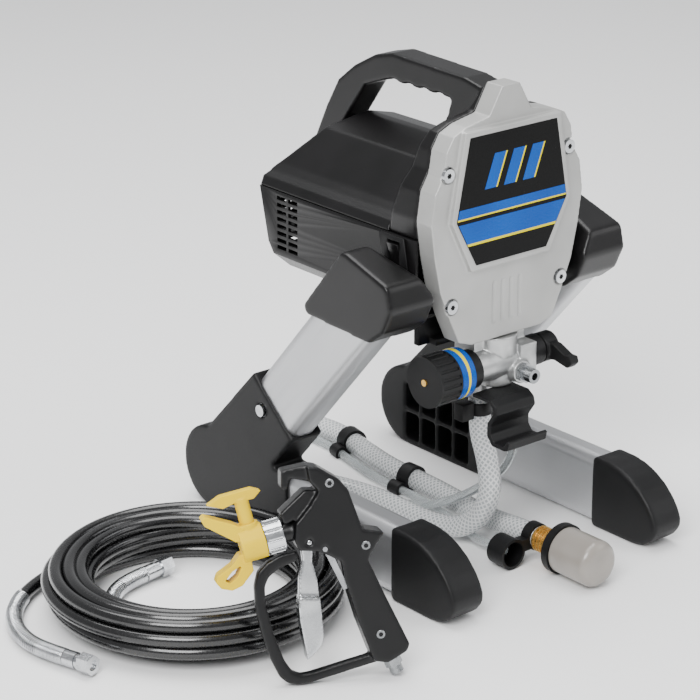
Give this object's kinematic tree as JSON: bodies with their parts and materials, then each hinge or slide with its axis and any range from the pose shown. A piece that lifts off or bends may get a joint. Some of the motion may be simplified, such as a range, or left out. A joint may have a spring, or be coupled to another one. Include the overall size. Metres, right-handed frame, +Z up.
{
  "type": "airless paint sprayer",
  "caption": "Airless paint sprayer on a folding tube stand, with a suction hose and strainer, a coiled black pressure hose and a spray gun with a yellow tip guard.",
  "frame": {"origin": "middle of the stand and the gun together, on the floor", "axes": "+X across the stand towards its right side, +Y from the front cover towards the back, +Z up"},
  "size_m": [0.58, 0.5082, 0.436],
  "materials": {
    "black_plastic": "fine moulded grain, satin",
    "black_soft": "smooth satin",
    "board_green": "circuit board",
    "brass_plain": "machined brass",
    "cast_pump": "cast and nickel plated, satin",
    "copper_wire": "lamination and copper",
    "frosted": "frosted smoke plastic",
    "grey_cover": "silver-grey cast cover with a fine sparkle",
    "gun_black": "black powder coat, semi gloss",
    "hose_black": "extruded black cover, semi gloss",
    "hose_clear": "clear braided vinyl",
    "ivory_fan": "moulded fan",
    "knob_black": "moulded, satin",
    "label_print": "printed label under a gloss film",
    "screw_zinc": "zinc plated",
    "silver_tube": "satin anodised, drawn along the tube",
    "spring_zinc": "zinc plated spring wire",
    "steel_grey": "machined steel",
    "tip_yellow": "moulded yellow",
    "trigger_grey": "satin metal",
    "tube_clear": "clear vinyl"
  },
  "bodies": {
    "stand": {"floor_rail_left": "silver_tube", "floor_rail_right": "silver_tube", "end_cap_left": "black_plastic", "end_cap_right": "black_plastic", "knee_left": "black_plastic", "knee_right": "black_plastic", "leg_tube_left": "silver_tube", "leg_tube_right": "silver_tube", "leg_socket_left": "black_plastic", "leg_socket_right": "black_plastic", "front_cover": "grey_cover", "label_plate": "label_print", "cover_screws": "screw_zinc", "housing": "black_soft", "motor_shroud": "black_soft", "handle_frame": "black_plastic", "switch_bezel": "black_plastic", "power_inlet": "black_plastic", "control_board": "board_green", "motor_can": "steel_grey", "pump_manifold": "cast_pump", "inlet_seat": "steel_grey", "outlet_fitting": "steel_grey", "knob_collar": "knob_black", "valve_body": "knob_black", "hook_clip": "black_plastic", "pump_bracket": "black_plastic", "hose_clamp": "black_plastic", "suction_hose": "hose_clear", "drain_tube": "tube_clear", "hose_clips": "black_plastic", "end_clip": "black_plastic", "brass_coupling": "brass_plain", "strainer_ring": "black_plastic", "strainer_bowl": "frosted", "hose_coil": "hose_black", "hose_tails": "hose_black", "spring_guards": "spring_zinc", "hose_stems": "screw_zinc"},
    "switch_rocker": {"switch_rocker": "knob_black"},
    "knob": {"pressure_knob": "knob_black", "knob_screw": "brass_plain"},
    "prime": {"prime_lever": "knob_black"},
    "rotor": {"armature": "copper_wire", "cooling_fan": "ivory_fan"},
    "crank": {"crank_gear": "steel_grey"},
    "piston": {"piston_rod": "steel_grey"},
    "inlet_valve": {"inlet_ball": "steel_grey"},
    "button_left": {"leg_button_left": "screw_zinc"},
    "button_right": {"leg_button_right": "screw_zinc"},
    "nut_outer": {"swivel_nut_outer": "screw_zinc"},
    "nut_inner": {"swivel_nut_inner": "screw_zinc"},
    "gun": {"gun_body": "gun_black"},
    "gun_trigger": {"trigger": "trigger_grey"},
    "gun_lock": {"trigger_lock": "screw_zinc"},
    "gun_needle": {"needle": "steel_grey"},
    "gun_collar": {"gun_nut": "steel_grey"},
    "gun_guard": {"tip_guard": "tip_yellow"},
    "gun_tip": {"spray_tip": "tip_yellow"},
    "gun_swivel": {"gun_inlet": "steel_grey"}
  },
  "joints": [
    {"name": "switch", "type": "hinge", "parent": "stand", "child": "switch_rocker", "pos_m": [0.0187, -0.03345, 0.2908], "axis": [0, 1, 0], "range_deg": [0, 10]},
    {"name": "pressure_dial", "type": "hinge", "parent": "stand", "child": "knob", "pos_m": [0.0602, -0.07145, 0.183], "axis": [1, 0, 0], "range_deg": [0, 270]},
    {"name": "prime_valve", "type": "hinge", "parent": "stand", "child": "prime", "pos_m": [0.1552, -0.07145, 0.183], "axis": [1, 0, 0], "range_deg": [0, 90]},
    {"name": "motor_shaft", "type": "hinge", "parent": "stand", "child": "rotor", "pos_m": [0.1152, 0.02355, 0.298], "axis": [0, 1, 0], "continuous": true},
    {"name": "crank_shaft", "type": "hinge", "parent": "stand", "child": "crank", "pos_m": [0.1052, -0.03645, 0.26739], "axis": [0, 1, 0], "continuous": true},
    {"name": "piston_stroke", "type": "slide", "parent": "stand", "child": "piston", "axis": [0, 0, 1], "range_m": [0, 0.015]},
    {"name": "inlet_check", "type": "slide", "parent": "stand", "child": "inlet_valve", "axis": [0, 0, 1], "range_m": [0, 0.0015]},
    {"name": "left_snap_button", "type": "slide", "parent": "stand", "child": "button_left", "axis": [1, 0, 0], "range_m": [0, 0.003], "stiffness_N_per_m": 400},
    {"name": "right_snap_button", "type": "slide", "parent": "stand", "child": "button_right", "axis": [-1, 0, 0], "range_m": [0, 0.003], "stiffness_N_per_m": 400},
    {"name": "outer_nut_swivel", "type": "hinge", "parent": "stand", "child": "nut_outer", "pos_m": [-0.31982, -0.01557, 0.0096], "axis": [0.2543, -0.9666, 0.0331], "continuous": true},
    {"name": "inner_nut_swivel", "type": "hinge", "parent": "stand", "child": "nut_inner", "pos_m": [-0.17881, 0.07203, 0.0096], "axis": [0.9967, 0.0703, 0.04], "continuous": true},
    {"name": "gun_lift", "type": "slide", "parent": "stand", "child": "gun", "axis": [0, 0, 1], "range_m": [0, 0.05]},
    {"name": "trigger_pull", "type": "hinge", "parent": "gun", "child": "gun_trigger", "pos_m": [-0.17002, -0.14423, 0.11691], "axis": [-0.4652, -0.8604, 0.2079], "range_deg": [0, 14], "stiffness_Nm_per_rad": 0.8},
    {"name": "trigger_lock_swing", "type": "hinge", "parent": "gun", "child": "gun_lock", "pos_m": [-0.15973, -0.15129, 0.11072], "axis": [-0.4652, -0.8604, 0.2079], "range_deg": [-50, 0]},
    {"name": "needle_travel", "type": "slide", "parent": "gun", "child": "gun_needle", "axis": [0.881, -0.4272, 0.2034], "range_m": [0, 0.0025]},
    {"name": "collar_turn", "type": "hinge", "parent": "gun", "child": "gun_collar", "pos_m": [-0.18085, -0.13645, 0.12486], "axis": [-0.881, 0.4272, -0.2034], "continuous": true},
    {"name": "guard_turn", "type": "hinge", "parent": "gun", "child": "gun_guard", "pos_m": [-0.18085, -0.13645, 0.12486], "axis": [-0.881, 0.4272, -0.2034], "range_deg": [-90, 90]},
    {"name": "tip_reverse", "type": "hinge", "parent": "gun_guard", "child": "gun_tip", "pos_m": [-0.20904, -0.12278, 0.11836], "axis": [-0.0862, 0.2778, 0.9568], "range_deg": [0, 180]},
    {"name": "inlet_swivel", "type": "hinge", "parent": "gun", "child": "gun_swivel", "pos_m": [-0.12342, -0.19337, 0.01784], "axis": [0.2314, -0.3449, -0.9097], "continuous": true}
  ],
  "couplings": [
    {"joint": "crank_shaft", "follows": "motor_shaft", "ratio": -0.23077},
    {"joint": "needle_travel", "follows": "trigger_pull", "m_per_rad": 0.010231}
  ]
}
